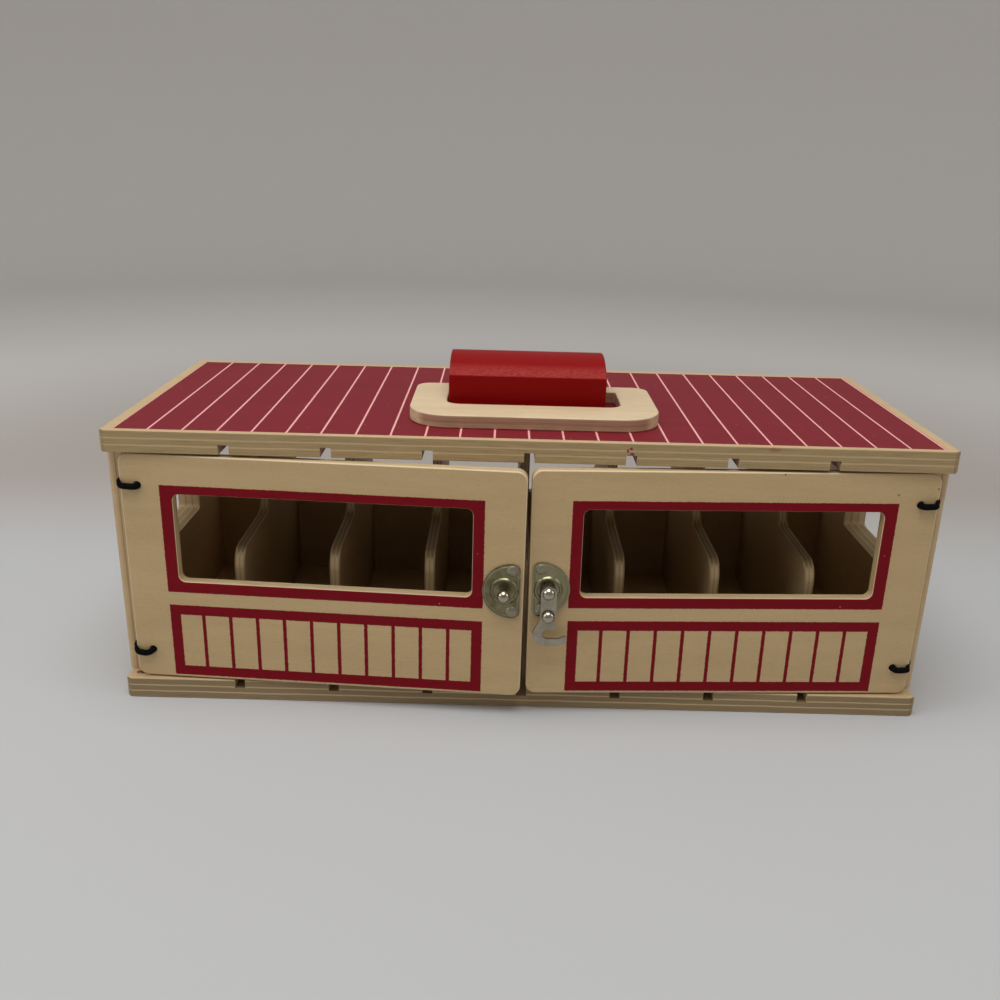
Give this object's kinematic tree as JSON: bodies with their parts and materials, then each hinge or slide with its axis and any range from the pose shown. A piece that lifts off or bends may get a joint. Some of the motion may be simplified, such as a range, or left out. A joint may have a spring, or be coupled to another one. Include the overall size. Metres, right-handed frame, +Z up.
{
  "type": "wooden toy stable",
  "caption": "Flat-roofed plywood toy stable with open windows, stall dividers, two hinged front doors with a hook latch, and a ring carry handle caught under a red block on the roof.",
  "frame": {"origin": "middle of the underside of the base board, on the surface that it stands on", "axes": "+X to the right along the front, +Y to the back, +Z up"},
  "size_m": [0.4026, 0.1776, 0.1677],
  "materials": {
    "plywood": "sanded birch plywood, thin clear coat",
    "handle_plywood": "pale sanded plywood",
    "door_plywood": "sanded birch plywood with red printed frames and bars",
    "roof_plywood": "plywood with a dark red planked print on top",
    "red_block": "red paint, worn at the shoulder",
    "nickel_steel": "nickel-plated pressed steel",
    "black_elastic": "black braided elastic"
  },
  "bodies": {
    "stable": {"base_panel": "plywood", "roof_panel": "roof_plywood", "left_side_panel": "plywood", "right_side_panel": "plywood", "back_panel": "plywood", "handle_block": "red_block", "stall_divider_1": "plywood", "stall_divider_2": "plywood", "stall_divider_3": "plywood", "stall_divider_4": "plywood", "stall_divider_5": "plywood", "stall_divider_6": "plywood", "stall_divider_7": "plywood", "left_lower_cord_anchor": "black_elastic", "left_upper_cord_anchor": "black_elastic", "right_lower_cord_anchor": "black_elastic", "right_upper_cord_anchor": "black_elastic"},
    "left_door": {"left_door": "door_plywood", "left_latch_plate": "nickel_steel", "left_plate_nails": "nickel_steel", "catch_stud": "nickel_steel", "left_lower_cord": "black_elastic", "left_upper_cord": "black_elastic"},
    "right_door": {"right_door": "door_plywood", "right_latch_plate": "nickel_steel", "right_plate_nails": "nickel_steel", "hook_pivot": "nickel_steel", "right_lower_cord": "black_elastic", "right_upper_cord": "black_elastic"},
    "latch_hook": {"latch_hook": "nickel_steel", "hook_knob": "nickel_steel"},
    "carry_handle": {"handle_ring": "handle_plywood"}
  },
  "joints": [
    {"name": "left_door_swing", "type": "hinge", "parent": "stable", "child": "left_door", "pos_m": [-0.1953, -0.0732, 0.0704], "axis": [0, 0, -1], "range_deg": [-3.29, 96]},
    {"name": "right_door_swing", "type": "hinge", "parent": "stable", "child": "right_door", "pos_m": [0.1965, -0.0732, 0.0704], "axis": [0, 0, 1], "range_deg": [-2.34, 96]},
    {"name": "latch_hook_turn", "type": "hinge", "parent": "right_door", "child": "latch_hook", "pos_m": [0.01103, -0.08498, 0.06826], "axis": [0.0408, -0.9992, 0], "range_deg": [-60, 270]},
    {"name": "carry_handle_flip", "type": "hinge", "parent": "stable", "child": "carry_handle", "pos_m": [0.0026, 0.0061, 0.1443], "axis": [-1, 0, 0], "range_deg": [0, 90]}
  ]
}
